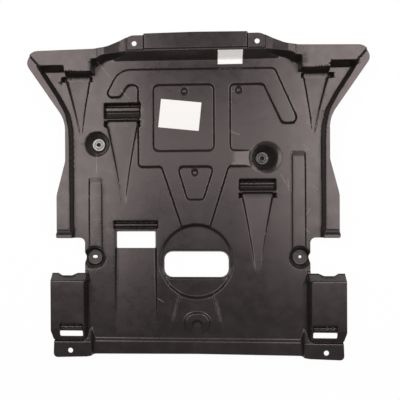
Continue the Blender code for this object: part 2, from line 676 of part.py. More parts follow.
def tray_outline():
    """The plan of the tray. The right half is listed from the top, the left half is its mirror."""
    bite_y = NOTCH_LOW_Y - BITE_DEPTH
    tab_y = TOP_Y - TAB_EDGE[1]
    half = [
        (SEGMENT_X, TOP_Y - EDGE_CROWN, 0), (SEGMENT_X + EDGE_CROWN, tab_y, 0),
        (TAB_EDGE[0], tab_y, TAB_EDGE[2]), (STRIP_X, TOP_Y - STRIP_EDGE_DROP, 12),
        (SHOULDER_EDGE[0], TOP_Y - SHOULDER_EDGE[1], SHOULDER_EDGE[2]),
        (SHOULDER_X, WING_TOP_Y + 2.0, 60), (WING_CORNER[0], WING_TOP_Y - WING_CORNER[1], WING_CORNER[2]),
        (WING_X, WING_Y, WING_TIP_R), (WAIST_X, WAIST_Y, 80), (WAIST_X, WAIST_TOP_Y, 40), (HIP_X, HIP_Y, 50),
        (HIP_X, RIM_END_Y, 0), (LIP_X, RIM_END_Y - 11.0, 3), (LIP_X, NOTCH_TOP_Y, 8),
        (NOTCH_X, NOTCH_TOP_Y, NOTCH_R), (NOTCH_X, NOTCH_LOW_Y, 0),
        (BITE_X[0], NOTCH_LOW_Y, 0), (BITE_X[1], bite_y, 8), (BITE_X[2], bite_y, 8),
        (BITE_X[3], NOTCH_LOW_Y, 0), (SHOE_X + 1.5, NOTCH_LOW_Y, 0), (SHOE_X, SHOE_TOP_Y, 0),
        (SHOE_X, SHOE_CORNER_Y, 2 * CORNER_R), (HEEL_X - 1.5, HEEL_CORNER_Y, CORNER_R),
        (HEEL_X, HEEL_Y, CORNER_R), (HEEL_TAB_X + 12.0, HEEL_Y + 2.5, CORNER_R),
        (HEEL_TAB_X - 8.0, HEEL_Y + HEEL_RISE, CORNER_R)]
    other = [(-x, y, r) for x, y, r in reversed(half)]
    return rounded([(0, TOP_Y, EDGE_CROWN_R), *half, (0, HEEL_MID_Y, EDGE_CROWN_R), *other])


def openings():
    holes = [slot_outline()]
    holes.append(box(WINDOW_X - WINDOW_WIDTH / 2, WINDOW_TOP_Y - WINDOW_HEIGHT,
                     WINDOW_X + WINDOW_WIDTH / 2, WINDOW_TOP_Y, WINDOW_R))
    for side in (-1, 1):
        x = side * SHOE_SLOT_X
        holes.append(box(x - SHOE_SLOT_WIDTH / 2, SHOE_SLOT_Y - SHOE_SLOT_HEIGHT,
                         x + SHOE_SLOT_WIDTH / 2, SHOE_SLOT_Y, SHOE_SLOT_R))
        holes.append(circle((side * TAB_HOLE_X, TAB_HOLE_Y), FIXING_R))
        holes.append(circle((side * HEEL_HOLE_X, HEEL_HOLE_Y), FIXING_R))
    holes.append(circle((CUP_FLOOR_X, CUP_Y), CUP_HOLE_R))
    slot_x, slot_half = -CUP_FLOOR_X, CUP_SLOT_LENGTH / 2
    holes.append(box(slot_x - slot_half, CUP_Y - CUP_HOLE_R, slot_x + slot_half, CUP_Y + CUP_HOLE_R,
                     CUP_HOLE_R - 0.1))
    holes.append(circle(WELL_L, WELL_HOLE_R))
    holes.append(circle(WELL_R_FLOOR, WELL_HOLE_R))
    return holes


def height(points, forms, wall=0.0):
    """Height of the face, or of the underside one wall behind it, at each point."""
    level = np.full(len(points), PLATE - wall)
    for form in forms:
        level = form.shape(points, level, wall)
    return level


# Placing

OUTLINE = tray_outline()
MID_Y = (OUTLINE[:, 1].min() + OUTLINE[:, 1].max()) / 2
REST_Z = FOOT_DEPTH + WALL


def place(x, y, z):
    """From the drawing's millimetres to metres, with the origin under the middle of the tray."""
    return (x * MM, (y - MID_Y) * MM, (z + REST_Z) * MM)


def add_object(name, bm, material):
    mesh = bpy.data.meshes.new(name)
    bm.to_mesh(mesh)
    bm.free()
    mesh.materials.append(material)
    piece = bpy.data.objects.new(name, mesh)
    bpy.context.scene.collection.objects.link(piece)
    return piece


def principled(name, colour, roughness, metallic):
    material = bpy.data.materials.new(name)
    material.use_nodes = True
    shader = material.node_tree.nodes["Principled BSDF"]
    shader.inputs["Base Color"].default_value = (*colour, 1)
    shader.inputs["Roughness"].default_value = roughness
    shader.inputs["Metallic"].default_value = metallic
    return material


# Pieces

def make_tray(material):
    forms = sheet_forms()
    holes = openings()
    loops = [OUTLINE, *holes]
    for form in forms:
        loops += list(form.edges())
    loops += list(label_seats())
    points, regions = [], []
    for loop in loops:
        regions.append(list(range(len(points), len(points) + len(loop))))
        points += [tuple(p) for p in loop]
    edges = [pair for region in regions for pair in zip(region, region[1:] + region[:1])]
    cut = delaunay_2d_cdt(points, edges, regions[:1 + len(holes)], 0, MERGE)
    plan = np.array([tuple(p) for p in cut[0]])
    kept = [face for face, inside in zip(cut[2], cut[5]) if inside == [0]]
    bm = bmesh.new()
    verts = {i: bm.verts.new((*plan[i], 0)) for i in sorted(set(sum(kept, [])))}
    for face in kept:
        bm.faces.new([verts[i] for i in face])
    extruded = bmesh.ops.extrude_face_region(bm, geom=bm.faces[:])["geom"]
    face_side = {v for v in extruded if isinstance(v, bmesh.types.BMVert)}
    for side, wall in ((face_side, 0.0), (set(bm.verts) - face_side, WALL)):
        side = list(side)
        flat = np.array([v.co.xy[:] for v in side], float)
        for vert, z in zip(side, height(flat, forms, wall)):
            vert.co = place(vert.co.x, vert.co.y, float(z))
    bmesh.ops.recalc_face_normals(bm, faces=bm.faces[:])
    flat = math.radians(FLAT_ANGLE)
    bmesh.ops.dissolve_limit(bm, angle_limit=flat, verts=bm.verts[:], edges=bm.edges[:])
    bmesh.ops.triangulate(bm, faces=bm.faces[:])
    return add_object("guard_panel", bm, material)


def make_insert(name, at, material):
    """A flanged metal insert with a blind bore, seated on a well's floor and filling its hole."""
    floor = -FOOT_DEPTH + CLEAR
    head = floor + INSERT_FLANGE + INSERT_HEAD
    shank = WELL_HOLE_R - CLEAR
    foot = FOOT_CLEAR - REST_Z
    profile = [(0, foot), (shank, foot), (shank, floor), (INSERT_FLANGE_R, floor),
               (INSERT_FLANGE_R, floor + INSERT_FLANGE), (INSERT_HEAD_R, floor + INSERT_FLANGE),
               (INSERT_HEAD_R, head), (INSERT_BORE_R, head), (INSERT_BORE_R, head - INSERT_BORE_DEPTH),
               (0, head - INSERT_BORE_DEPTH)]
    bm = bmesh.new()
    verts = [bm.verts.new(place(at[0] + r, at[1], z)) for r, z in profile]
    wires = [bm.edges.new(pair) for pair in zip(verts, verts[1:])]
    bmesh.ops.spin(bm, geom=verts + wires, cent=place(*at, 0), axis=(0, 0, 1), angle=math.tau,
                   steps=ROUND_SIDES, use_merge=True)
    bmesh.ops.remove_doubles(bm, verts=bm.verts[:], dist=0.00001)
    bmesh.ops.recalc_face_normals(bm, faces=bm.faces[:])
    piece = add_object(name, bm, material)
    piece.data.shade_smooth()
    piece.data.set_sharp_from_angle(angle=math.radians(30))
    return piece


def label_plans():
    """The plan of each label: its name and the two ends of each row at which it starts, bends or ends."""
    half_w, half_h = BIG_LABEL[0] / 2, BIG_LABEL[1] / 2
    turn = math.radians(BIG_LABEL_TURN)
    along = np.array([math.cos(turn), math.sin(turn)]) * half_w
    up = np.array([-math.sin(turn), math.cos(turn)]) * half_h
    middle = np.array(BIG_LABEL_AT)
    yield "large_label", [(row - along, row + along) for row in (middle - up, middle + up)]
    x, low_y = SMALL_LABEL_AT
    x0, x1 = x - SMALL_LABEL_WIDTH / 2, x + SMALL_LABEL_WIDTH / 2
    foot_y = STRIP_Y - STRIP_LEVEL / STRIP_WALL_SLOPE
    yield "small_label", [((x0, y), (x1, y)) for y in (low_y, foot_y, SMALL_LABEL_TOP_Y)]


def label_seats():
    """Loops in the sheet under each label, so that the sheet bends where the label does."""
    for _, rows in label_plans():
        for low, high in zip(rows, rows[1:]):
            yield np.array([low[0], low[1], high[1], high[0]])


def make_label(name, rows, forms, material):
    """A paper label laid over the sheet, bending at its rows."""
    bm = bmesh.new()
    grid = []
    for row in rows:
        z = height(np.array(row), forms) + CLEAR
        grid.append([bm.verts.new(place(*p, h)) for p, h in zip(row, z)])
    for low, high in zip(grid, grid[1:]):
        bm.faces.new((low[0], low[1], high[1], high[0]))
    top = bmesh.ops.extrude_face_region(bm, geom=bm.faces[:])["geom"]
    lift = [v for v in top if isinstance(v, bmesh.types.BMVert)]
    bmesh.ops.translate(bm, verts=lift, vec=(0, 0, PAPER * MM))
    bmesh.ops.recalc_face_normals(bm, faces=bm.faces[:])
    return add_object(name, bm, material)


def main():
    for item in list(bpy.data.objects):
        bpy.data.objects.remove(item)
    plastic = principled("black_plastic", (0.045, 0.042, 0.041), 0.42, 0.0)
    steel = principled("plated_steel", (0.55, 0.55, 0.54), 0.35, 1.0)
    paper = principled("white_paper", (0.86, 0.86, 0.85), 0.6, 0.0)
    make_tray(plastic)
    make_insert("left_well_insert", WELL_L, steel)
    make_insert("right_well_insert", WELL_R_FLOOR, steel)
    forms = sheet_forms()
    for name, rows in label_plans():
        make_label(name, rows, forms, paper)


main()
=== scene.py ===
"""Engine guard: the looks of a moulded undertray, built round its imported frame."""

import math

import bmesh
import bpy
import numpy as np
from bpy.props import FloatProperty, FloatVectorProperty, PointerProperty
from mathutils import Matrix, Vector
from mathutils.geometry import delaunay_2d_cdt


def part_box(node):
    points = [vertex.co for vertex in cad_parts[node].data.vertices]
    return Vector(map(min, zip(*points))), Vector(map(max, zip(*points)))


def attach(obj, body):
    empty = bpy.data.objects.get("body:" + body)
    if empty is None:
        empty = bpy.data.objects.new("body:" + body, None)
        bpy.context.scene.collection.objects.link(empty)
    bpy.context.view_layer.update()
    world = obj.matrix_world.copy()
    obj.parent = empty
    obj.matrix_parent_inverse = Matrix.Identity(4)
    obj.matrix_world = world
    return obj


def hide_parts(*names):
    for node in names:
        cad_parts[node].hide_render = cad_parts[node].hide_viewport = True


bl_info = {
    "name": "Engine guard",
    "version": (1, 0, 0),
    "blender": (4, 5, 0),
    "location": "View3D > Sidebar > Engine guard",
    "description": "Builds the looks of a moulded plastic engine guard round its packed frame",
    "category": "Add Mesh",
}

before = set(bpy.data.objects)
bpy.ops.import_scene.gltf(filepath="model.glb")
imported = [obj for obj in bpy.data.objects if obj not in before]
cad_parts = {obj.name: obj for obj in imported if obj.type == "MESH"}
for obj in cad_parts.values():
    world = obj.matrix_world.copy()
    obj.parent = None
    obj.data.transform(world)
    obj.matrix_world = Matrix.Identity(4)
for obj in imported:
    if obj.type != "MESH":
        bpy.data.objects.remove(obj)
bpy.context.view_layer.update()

MM = 0.001

# Rounding of the sheet: all its folds are softened on a fine map of its heights. Its new corners stand in
# rows along the folds and the rims, in shares of their rounding, and on a wide grid between them
MAP_CELL = 0.5 * MM
MAP_MARGIN = 6.0 * MM
MAP_INLAND = 0.95
FOLD_ANGLE = math.radians(10)
FOLD_STATION = 7.0 * MM
FOLD_ROWS = (-2.8, -1.4, 0.0, 1.4, 2.8)
GRID_STEP = 14.0 * MM
RIM_STATION = 2.0 * MM
RIM_ROWS = (0.0, 0.3, 1.0)

# Sides of the rim up to this length, with bends up to this one in radians, are rounded out to arcs
ARC_SPAN = 14.0 * MM
ARC_TURN = 0.65

# Corners nearer than these are one: in the plan's cut, which is worked in millimetres, and in a mesh
MERGE = 0.03
JOIN = 0.001 * MM

# A face belongs to the top or the underside from this upward share of its normal on
UPRIGHT = 0.01

# Screw wells' inserts: radii, heights of their steps and depths below their tops, the last pair being
# where painted shade fades in down the bores
INSERT_SIDES = 72
FLANGE_R = 15.5 * MM
HEAD_R = 9.0 * MM
SHANK_R = 7.7 * MM
BORE_R = 5.0 * MM
HEAD_TALL = 1.5 * MM
FLANGE_TALL = 2.0 * MM
BORE_DEEP = 5.0 * MM
# Painted shade in the bores: full below the first depth, gone above the second
BORE_PAINTED_SHADE = (3.5 * MM, 2.5 * MM)
INSERT_CREASE = math.radians(35)

# Paper labels. The small one fills its box in the frame
LARGE_LABEL_HALF = (50.0 * MM, 35.0 * MM)
LARGE_LABEL_TURN = math.radians(-6.0)
LABEL_CORNERS = ((-1, -1), (1, -1), (1, 1), (-1, 1))
PAPER_STEP = 2.5 * MM
PAPER_LIFT = 0.25 * MM
PAPER = 0.3 * MM
PAPER_CREASE = math.radians(40)
DULL_PAPER = (0.80, 0.79, 0.785, 1)

# Scratches on the plastic: ends in plan and width, in millimetres
SCRATCHES = (
    ((-240.0, 330.0), (-213.0, 296.0), 1.0),
    ((-185.0, 263.0), (-164.0, 241.0), 1.0),
    ((-247.0, 105.0), (-246.5, 60.0), 1.2),
    ((205.0, 53.0), (224.0, 21.0), 0.9),
    ((283.0, 28.0), (294.0, 14.0), 1.0),
    ((266.0, -48.0), (279.0, -27.0), 1.0),
    ((263.0, -80.0), (275.0, -91.0), 1.1),
    ((81.0, 159.0), (107.0, 149.0), 1.0),
    ((282.0, 22.0), (289.0, 6.0), 0.9),
    ((223.0, 41.0), (226.0, 12.0), 0.9),
    ((262.0, 120.0), (276.0, 108.0), 0.8),
    ((-345.0, 0.0), (-322.0, 12.0), 0.8),
    ((-272.0, 12.0), (-262.0, -6.0), 0.8),
    ((-96.0, -252.0), (-80.0, -262.0), 0.9),
)
SCRATCH_COLOUR = (0.26, 0.245, 0.235, 1)
SCRATCH_CORE = 0.3
SCRATCH_DEEP = 0.12 * MM

# Heights of the surfaces' fine marks
GRAIN_DEEP = 0.006 * MM
TURNED_DEEP = 0.03 * MM
FIBRE_DEEP = 0.03 * MM
DENT_DEEP = 0.4 * MM

# Soft boxes overhead: middle in plan and size. The floor lies just below the feet
LAMP_HEIGHT = 1.6
LAMP_COLOUR = (1.0, 0.965, 0.94)
LEFT_BOX = ((-0.76, 0.42), (0.8, 1.34))
RIGHT_BOX = ((0.80, 0.37), (0.75, 1.26))
MIDDLE_BOX = ((0.03, 0.21), (0.56, 0.4))
FLOOR_HALF = 30.0
FLOOR_DROP = 0.2 * MM
FLOOR_GREY = (0.9, 0.9, 0.9, 1)
FLOOR_ROUGHNESS = 0.9
FLOOR_GLOSS = 0.1
WHITE = (1, 1, 1, 1)

# Camera, as fitted to the photograph
CAMERA_AT = (0.01708, -0.00289, 1.53865)
CAMERA_YAW = math.radians(3.79)
CAMERA_PITCH = math.radians(-0.257)
CAMERA_ROLL = math.radians(-0.299)
CAMERA_LENS = 55.1
CAMERA_SENSOR = 36.0
CAMERA_SHIFT = 0.0937


# Sheet

def merged_copy(node):
    """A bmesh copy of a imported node, with its loose triangles joined."""
    bm = bmesh.new()
    bm.from_mesh(node.data)
    bmesh.ops.remove_doubles(bm, verts=bm.verts[:], dist=JOIN)
    bm.normal_update()
    bm.verts.index_update()
    return bm


def faces_side(face, side):
    """Whether a face looks up, for side 1, or down, for side -1."""
    return side * face.normal.z > UPRIGHT


def rim_loops(bm):
    """Closed loops of the sheet's rim and holes in plan, each with the sheet on its left."""
    following, place = {}, {}
    for edge in bm.edges:
        up = [faces_side(face, 1) for face in edge.link_faces]
        if up[0] == up[1]:
            continue
        for loop in edge.link_faces[0 if up[0] else 1].loops:
            if loop.edge == edge:
                following[loop.vert.index] = loop.link_loop_next.vert.index
                place[loop.vert.index] = np.array(loop.vert.co.xy)
    loops = []
    while following:
        at = next(iter(following))
        loop = []
        while at in following:
            loop.append(place[at])
            at = following.pop(at)
        loops.append(np.array(loop))
    return loops


def plan_area(loop):
    """Area inside a loop, below zero for one that runs clockwise."""
    x, y = loop[:, 0], loop[:, 1]
    return float(np.sum(x * np.roll(y, -1) - np.roll(x, -1) * y)) / 2


def filled_out(loop):
    """A loop split into short sides, with gentle bends rounded out to arcs."""
    points = []
    count = len(loop)
    for i in range(count):
        before, start, end, after = (loop[(i + k) % count] for k in (-1, 0, 1, 2))
        run = end - start
        span = float(np.hypot(*run))
        bend_in = turn_between(start - before, run)
        bend_out = turn_between(run, after - end)
        parts = max(1, round(span / RIM_STATION))
        bulge = 0.0
        if span < ARC_SPAN and max(abs(bend_in), abs(bend_out)) < ARC_TURN and bend_in * bend_out > 0:
            bulge = span * math.tan((bend_in + bend_out) / 8) / 2
            parts = max(parts, 2)
        side = np.array([run[1], -run[0]]) / span
        for k in range(parts):
            share = k / parts
            points.append(start + run * share + side * (4 * bulge * share * (1 - share)))
    return np.array(points)


def turn_between(run, following):
    """Angle from one side of a loop to the next."""
    return math.atan2(run[0] * following[1] - run[1] * following[0], float(run @ following))


def moved_in(loop, reach):
    """A loop moved towards the sheet by reach."""
    ahead = np.roll(loop, -1, 0) - loop
    ahead /= np.linalg.norm(ahead, axis=1)[:, None]
    normal = np.stack([-ahead[:, 1], ahead[:, 0]], 1)
    before = np.roll(normal, 1, 0)
    mitre = (before + normal) / np.maximum(0.6, 1.0 + np.sum(before * normal, 1))[:, None]
    return loop + mitre * reach


def blurred(field, spread):
    """A map softened by a bell curve, with spread in cells."""
    reach = int(math.ceil(3 * spread))
    steps = np.arange(-reach, reach + 1)
    taps = np.exp(-0.5 * (steps / spread) ** 2)
    taps = (taps / taps.sum()).astype(np.float32)
    for axis in (0, 1):
        total = np.zeros_like(field)
        for step, tap in zip(steps, taps):
            total += tap * np.roll(field, step, axis)
        field = total
    return field


class HeightMap:
    """Heights of one side of the sheet on a square grid in plan, with its folds softened."""

    def __init__(self, bm, side, spread):
        corners = np.array([vert.co.xy for vert in bm.verts])
        self.low = corners.min(0) - MAP_MARGIN
        self.size = np.ceil((corners.max(0) + MAP_MARGIN - self.low) / MAP_CELL).astype(int)
        self.heights = np.zeros(self.size, np.float32)
        self.known = np.zeros(self.size, np.float32)
        for face in bm.faces:
            if faces_side(face, side):
                self.fill(*(np.array(vert.co, float) for vert in face.verts))
        self.known = blurred(self.known, spread / MAP_CELL)
        self.heights = blurred(self.heights, spread / MAP_CELL) / np.maximum(self.known, 1e-6)

    def fill(self, a, b, c):
        """Writes one triangle's heights into the cells whose middles it covers, line by line."""
        p, q, r = ((corner[:2] - self.low) / MAP_CELL - 0.5 for corner in (a, b, c))
        area = (q[0] - p[0]) * (r[1] - p[1]) - (q[1] - p[1]) * (r[0] - p[0])
        first = np.ceil(np.min([p, q, r], 0)).astype(int)
        last = np.floor(np.max([p, q, r], 0)).astype(int)
        if abs(area) < 1e-9 or (last < first).any():
            return
        axis = int(last[0] - first[0] > last[1] - first[1])
        lines = np.arange(first[axis], last[axis] + 1)
        low = np.full(len(lines), np.inf)
        high = np.full(len(lines), -np.inf)
        for start, end in ((p, q), (q, r), (r, p)):
            run = end[axis] - start[axis]
            if abs(run) < 1e-12:
                continue
            share = (lines - start[axis]) / run
            met = (share >= -1e-9) & (share <= 1 + 1e-9)
            at = start[1 - axis] + share * (end[1 - axis] - start[1 - axis])
            low = np.where(met, np.minimum(low, at), low)
            high = np.where(met, np.maximum(high, at), high)
        met = np.isfinite(low)
        start = np.where(met, np.ceil(np.where(met, low, 0) - 1e-6), 0).astype(int)
        stop = np.where(met, np.floor(np.where(met, high, -1) + 1e-6), -1).astype(int)
        count = np.maximum(stop - start + 1, 0)
        line = np.repeat(lines, count)
        along = np.arange(count.sum()) - np.repeat(np.cumsum(count) - count - start, count)
        i, j = (line, along) if axis == 0 else (along, line)
        s = ((i - p[0]) * (r[1] - p[1]) - (j - p[1]) * (r[0] - p[0])) / area
        t = ((q[0] - p[0]) * (j - p[1]) - (q[1] - p[1]) * (i - p[0])) / area
        self.heights[i, j] = a[2] + s * (b[2] - a[2]) + t * (c[2] - a[2])
        self.known[i, j] = 1.0

    def read(self, field, points):
        """A map's value at each point, blended between its four nearest cells."""
        at = (points - self.low) / MAP_CELL - 0.5
        cell = np.clip(np.floor(at).astype(int), 0, self.size - 2)
        share = at - cell
        i, j = cell[:, 0], cell[:, 1]
        near = field[i, j] * (1 - share[:, 0]) + field[i + 1, j] * share[:, 0]
        far = field[i, j + 1] * (1 - share[:, 0]) + field[i + 1, j + 1] * share[:, 0]
        return near * (1 - share[:, 1]) + far * share[:, 1]

    def height(self, points):
        return self.read(self.heights, points)

    def normals(self, points, side):
        """The way the softened side faces at each point."""
        step = MAP_CELL
        along = [self.height(points + (step, 0)) - self.height(points - (step, 0)),
                 self.height(points + (0, step)) - self.height(points - (0, step))]
        faced = np.stack([-along[0], -along[1], np.full(len(points), 2 * step)], 1) * side
        return faced / np.linalg.norm(faced, axis=1)[:, None]

    def inland(self, points):
        """Which points lie clear of the rim's rounding."""
        return self.read(self.known, points) > MAP_INLAND


def fold_points(bm, side, spread):
    """Rows of plan points along each fold of one side of the sheet."""
    points = []
    for edge in bm.edges:
        if not all(faces_side(face, side) for face in edge.link_faces):
            continue
        if edge.calc_face_angle() < FOLD_ANGLE:
            continue
        start, end = (np.array(vert.co.xy) for vert in edge.verts)
        span = float(np.hypot(*(end - start)))
        if span < MERGE * MM:
            continue
        across = np.array([start[1] - end[1], end[0] - start[0]]) / span
        parts = max(1, round(span / FOLD_STATION))
        for k in range(parts):
            station = start + (end - start) * (k + 0.5) / parts
            points += [station + across * (row * spread) for row in FOLD_ROWS]
    return np.array(points)


def sheet_side(bm, side, loops, spread, rim_round):
    """One side of the sheet: its corners, triangles, rim loops, height map and the corners' facing."""
    heights = HeightMap(bm, side, spread)
    points, drops, regions = [], [], []
    for row in RIM_ROWS:
        for loop in loops:
            if row == 0.0:
                regions.append(list(range(len(points), len(points) + len(loop))))
            points += list(moved_in(loop, rim_round * row))
            drops += [rim_round * (1 - math.sqrt(1 - (1 - row) ** 2))] * len(loop)
    low, high = heights.low, heights.low + heights.size * MAP_CELL
    grid = np.meshgrid(*(np.arange(low[k], high[k], GRID_STEP) for k in (0, 1)), indexing="ij")
    inner = np.concatenate([fold_points(bm, side, spread), np.stack(grid, -1).reshape(-1, 2)])
    inner = inner[heights.inland(inner)]
    points = np.concatenate([np.array(points), inner])
    drops = np.concatenate([drops, np.zeros(len(inner))])
    edges = [pair for region in regions for pair in zip(region, region[1:] + region[:1])]
    areas = [regions[0]] + [region[::-1] for region in regions[1:]]
    cut = delaunay_2d_cdt([tuple(point / MM) for point in points], edges, areas, 0, MERGE)
    plan = np.array([tuple(point) for point in cut[0]]) * MM
    drop = np.array([drops[min(source)] if source else 0.0 for source in cut[3]])
    z = heights.height(plan) - side * drop
    faced = heights.normals(plan, side) * (drop == 0.0)[:, None]
    faces = [face for face, areas_in in zip(cut[2], cut[5]) if areas_in == [0]]
    becomes = {k: i for i, source in enumerate(cut[3]) for k in source}
    rim = [[becomes[k] for k in region] for region in regions]
    return np.column_stack([plan, z]), faces, rim, heights, faced


# Shader sockets

class Wire:
    """An output of a shader node. Python's operators on it add Math nodes."""

    def __init__(self, tree, socket=None):
        self.tree, self.socket = tree, socket

    def node(self, kind, settings=None, inputs=None, output=0):
        """Adds a node with its settings, then the values or wires of its inputs, and returns an output."""
        node = self.tree.nodes.new(kind)
        for name, value in (settings or {}).items():
            setattr(node, name, value)
        for name, value in (inputs or {}).items():
            if isinstance(value, Wire):
                self.tree.links.new(value.socket, node.inputs[name])
            else:
                node.inputs[name].default_value = value
        return Wire(self.tree, node.outputs[output])

    def math(self, operation, *values):
        return self.node("ShaderNodeMath", {"operation": operation}, dict(enumerate(values)))

    def __add__(self, other):
        return self.math("ADD", self, other)

    __radd__ = __add__

    def __sub__(self, other):
        return self.math("SUBTRACT", self, other)

    def __rsub__(self, other):
        return self.math("SUBTRACT", other, self)

    def __mul__(self, other):
        return self.math("MULTIPLY", self, other)

    __rmul__ = __mul__

    def __truediv__(self, other):
        return self.math("DIVIDE", self, other)

    def __rtruediv__(self, other):
        return self.math("DIVIDE", other, self)

    def place(self):
        """Object coordinates."""
        return self.node("ShaderNodeTexCoord", output=3)

    def split(self):
        """The three parts of a place or a colour."""
        node = self.node("ShaderNodeSeparateXYZ", {}, {"Vector": self}).socket.node
        return [Wire(self.tree, output) for output in node.outputs]

    def between(self, low, high):
        """0 below low, 1 above high and a smooth rise from one to the other."""
        inputs = {"Value": self, "From Min": low, "From Max": high}
        return self.node("ShaderNodeMapRange", {"interpolation_type": "SMOOTHSTEP"}, inputs)

    def noise(self, place, scale, detail=3.0, roughness=0.5):
        inputs = {"Vector": place, "Scale": scale, "Detail": detail, "Roughness": roughness}
        return self.node("ShaderNodeTexNoise", {}, inputs)

    def blend(self, share, low, high):
        """A colour between two colours."""
        return self.node("ShaderNodeMix", {"data_type": "RGBA"}, {0: share, 6: low, 7: high}, 2)


def new_material(name):
    """A material, a wire to start nodes from and its Principled shader."""
    material = bpy.data.materials.new(name)
    material.use_nodes = True
    tree = material.node_tree
    return material, Wire(tree), tree.nodes["Principled BSDF"]


def plug(wire, shader, name):
    wire.tree.links.new(wire.socket, shader.inputs[name])


def emboss(height, shader, strength=1.0):
    """Bends the light on a surface by a map of its fine heights."""
    inputs = {"Height": height, "Strength": strength, "Distance": 1.0}
    plug(height.node("ShaderNodeBump", {}, inputs), shader, "Normal")


def scratch_mark(x, y, start, end, width):
    """1 along a straight scratch and 0 away from it."""
    ax, ay = (value * MM for value in start)
    dx, dy = ((b - a) * MM for a, b in zip(start, end))
    span_squared = dx * dx + dy * dy
    share = x.math("MAXIMUM", ((x - ax) * dx + (y - ay) * dy) / span_squared, 0.0)
    share = x.math("MINIMUM", share, 1.0)
    gap_x = x - ax - share * dx
    gap_y = y - ay - share * dy
    gap = x.math("SQRT", gap_x * gap_x + gap_y * gap_y)
    return 1 - gap.between(width * MM * SCRATCH_CORE, width * MM)


def black_plastic(look):
    """Warm charcoal moulded plastic: satin, finely grained, a little dusty and scratched."""
    material, wire, shader = new_material("black_plastic")
    place = wire.place()
    x, y, _ = place.split()
    clouds = wire.noise(place, 6.0, 3.0, 0.55)
    smears = wire.noise(place, 38.0, 4.0, 0.6)
    specks = wire.noise(place, 900.0, 2.0, 0.6)
    marks = None
    for start, end, width in SCRATCHES:
        mark = scratch_mark(x, y, start, end, width)
        marks = mark if marks is None else wire.math("MAXIMUM", marks, mark)
    breaks = wire.noise(place, 260.0, 3.0, 0.7).between(0.3, 0.52)
    marks = marks * breaks
    dust = clouds.between(0.35, 0.75) * 0.5 + smears.between(0.45, 0.75) * 0.3
    dust = dust + specks.between(0.62, 0.72) * 0.2
    colour = wire.blend(dust * 0.5, (*look.plastic, 1), (*look.dust, 1))
    colour = wire.blend(marks * 0.8, colour, SCRATCH_COLOUR)
    plug(colour, shader, "Base Color")
    rough = look.roughness + (smears - 0.5) * 0.2 + (clouds - 0.5) * 0.16 + marks * 0.1
    plug(rough, shader, "Roughness")
    shader.inputs["Specular IOR Level"].default_value = look.gloss
    shader.inputs["Specular Tint"].default_value = (*look.sheen, 1)
    grain = wire.node("ShaderNodeTexVoronoi", {"feature": "SMOOTH_F1"}, {"Vector": place, "Scale": 1300.0})
    warp = wire.noise(place, 14.0, 2.0, 0.5)
    height = grain * GRAIN_DEEP + specks * GRAIN_DEEP + warp * look.warp - marks * SCRATCH_DEEP
    emboss(height, shader)
    return material


def plated_steel(look):
    """Zinc-plated steel, turned and dulled, with painted shade in the bores and the right insert coloured
    darker and mottled.
    """
    material, wire, shader = new_material("plated_steel")
    place = wire.place()
    x, _, z = place.split()
    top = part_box("left_well_insert")[1].z
    blotches = wire.noise(place, 220.0, 4.0, 0.6)
    darker_tone = wire.noise(place, 330.0, 3.0, 0.6)
    fine = wire.noise(place, 1600.0, 3.0, 0.6)
    colour = wire.blend(blotches.between(0.35, 0.7), (*look.steel, 1), (*look.dull_steel, 1))
    # The right insert is coloured darker by a fixed share of a darker colour, mottled by noise
    on_right = x.between(-0.01, 0.01)
    colour = wire.blend(on_right * (0.62 + darker_tone.between(0.35, 0.6) * 0.3), colour, (*look.darker_tone, 1))
    # Painted shade: below this depth the bores take the dark plastic's colour, standing in for the shade
    # inside them
    bore_painted_shade = 1 - z.between(*(top - depth for depth in BORE_PAINTED_SHADE))
    colour = wire.blend(bore_painted_shade, colour, (*look.plastic, 1))
    plug(colour, shader, "Base Color")
    plug(0.48 + (fine - 0.5) * 0.2 + (blotches - 0.5) * 0.25, shader, "Roughness")
    shader.inputs["Metallic"].default_value = 1.0
    emboss(fine * TURNED_DEEP, shader, 0.6)
    return material


def white_paper(look):
    """Plain coated label paper with fine fibres and a few soft dents."""
    material, wire, shader = new_material("white_paper")
    place = wire.place()
    fibres = wire.noise(place, 1400.0, 4.0, 0.65)
    dents = wire.noise(place, 45.0, 2.0, 0.5)
    colour = wire.blend(fibres.between(0.3, 0.8), (*look.paper, 1), DULL_PAPER)
    plug(colour, shader, "Base Color")
    plug(0.55 + (fibres - 0.5) * 0.2, shader, "Roughness")
    height = fibres * FIBRE_DEEP + dents * DENT_DEEP
    emboss(height, shader)
    return material


# Settings

def colour_setting(name, default, description):
    return FloatVectorProperty(name=name, description=description, default=default, subtype="COLOR",
                               size=3, min=0.0, max=1.0)


class GuardLook(bpy.types.PropertyGroup):
    """Colours and finish of the guard."""

    plastic: colour_setting("Plastic", (0.0165, 0.0130, 0.0132), "Colour of the moulded plastic")
    sheen: colour_setting("Sheen", (1.0, 0.88, 0.895), "Tint of the plastic's reflections")
    dust: colour_setting("Dust", (0.038, 0.0325, 0.0320), "Colour of the thin dust on the plastic")
    steel: colour_setting("Steel", (0.30, 0.29, 0.285), "Colour of the plated inserts")
    dull_steel: colour_setting("Dull steel", (0.20, 0.19, 0.188), "Colour of the inserts' duller blotches")
    # Darker colour blended over the whole right insert, mottled
    darker_tone: colour_setting("Grime", (0.035, 0.033, 0.031), "Colour of the grime on the right insert")
    paper: colour_setting("Paper", (0.88, 0.875, 0.87), "Colour of the blank labels")
    roughness: FloatProperty(name="Roughness", description="Roughness of the plastic", default=0.29,
                             min=0.05, max=1.0, subtype="FACTOR")
    gloss: FloatProperty(name="Gloss", description="Strength of the plastic's reflections", default=0.56,
                         min=0.0, max=1.0, subtype="FACTOR")
    warp: FloatProperty(name="Warp", description="Height of the slow waves in the sheet", default=0.0006,
                        min=0.0, max=0.01, unit="LENGTH", precision=4)


